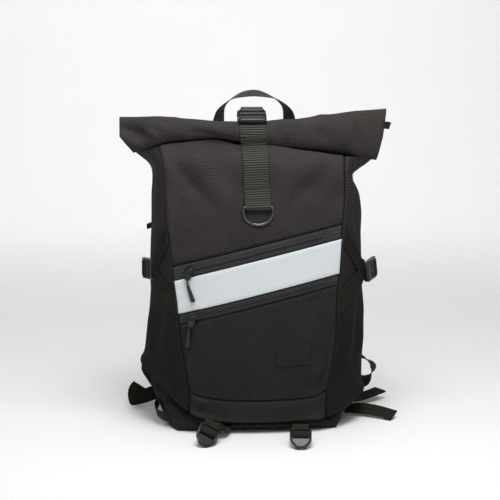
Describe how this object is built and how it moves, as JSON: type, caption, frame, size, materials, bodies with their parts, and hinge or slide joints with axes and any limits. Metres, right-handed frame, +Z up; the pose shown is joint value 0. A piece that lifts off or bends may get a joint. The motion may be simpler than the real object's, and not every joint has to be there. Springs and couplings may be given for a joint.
{
  "type": "roll-top backpack",
  "caption": "Upright roll-top backpack of black cloth with a rolled mouth held by a buckled strap, slanted zips beside a reflective band, padded shoulder straps and side compression straps.",
  "frame": {"origin": "middle of the base's underside, on the floor the bag stands on", "axes": "+Z up, -Y towards the front with the zips, +X to the right of someone facing the front"},
  "size_m": [0.4276, 0.3074, 0.5113],
  "materials": {
    "fabric": "matte woven nylon",
    "padding": "matte padded cloth",
    "zip": "woven tape with a nylon coil",
    "reflective": "smooth reflective cloth",
    "webbing": "ribbed nylon webbing",
    "metal": "satin gunmetal",
    "plastic": "satin moulded",
    "grip": "satin moulded"
  },
  "bodies": {
    "bag": {"base_panel": "fabric", "upper_front_panel": "fabric", "pocket_panel": "fabric", "front_hem": "fabric", "left_side_panel": "fabric", "right_side_panel": "fabric", "back_collar": "fabric", "roll_top": "fabric", "label_patch": "fabric", "back_panel": "padding", "left_shoulder_pad": "padding", "right_shoulder_pad": "padding", "upper_zip": "zip", "lower_zip": "zip", "reflective_band": "reflective", "roll_end_tab": "webbing", "closure_strap": "webbing", "rear_closure_strap": "webbing", "haul_handle": "webbing", "left_side_strap": "webbing", "left_rear_strap": "webbing", "right_side_strap": "webbing", "right_rear_strap": "webbing", "left_base_strap": "webbing", "right_base_strap": "webbing", "left_shoulder_web": "webbing", "right_shoulder_web": "webbing", "left_shoulder_tail": "webbing", "right_shoulder_tail": "webbing", "right_base_tail": "webbing", "left_base_loop": "webbing", "upper_zip_slider": "metal", "upper_zip_tab": "metal", "lower_zip_slider": "metal", "lower_zip_tab": "metal", "closure_buckle_male": "plastic", "closure_buckle_female": "plastic", "left_side_buckle": "plastic", "right_side_buckle": "plastic", "left_base_lock": "plastic", "right_base_lock": "plastic", "left_shoulder_lock": "plastic", "right_shoulder_lock": "plastic", "upper_zip_grip": "grip", "lower_zip_grip": "grip"},
    "ring": {"d_ring": "metal"}
  },
  "joints": [
    {"name": "ring_swing", "type": "hinge", "parent": "bag", "child": "ring", "pos_m": [0.0005, -0.08199, 0.34482], "axis": [-1, 0, 0], "range_deg": [0, 150]}
  ]
}
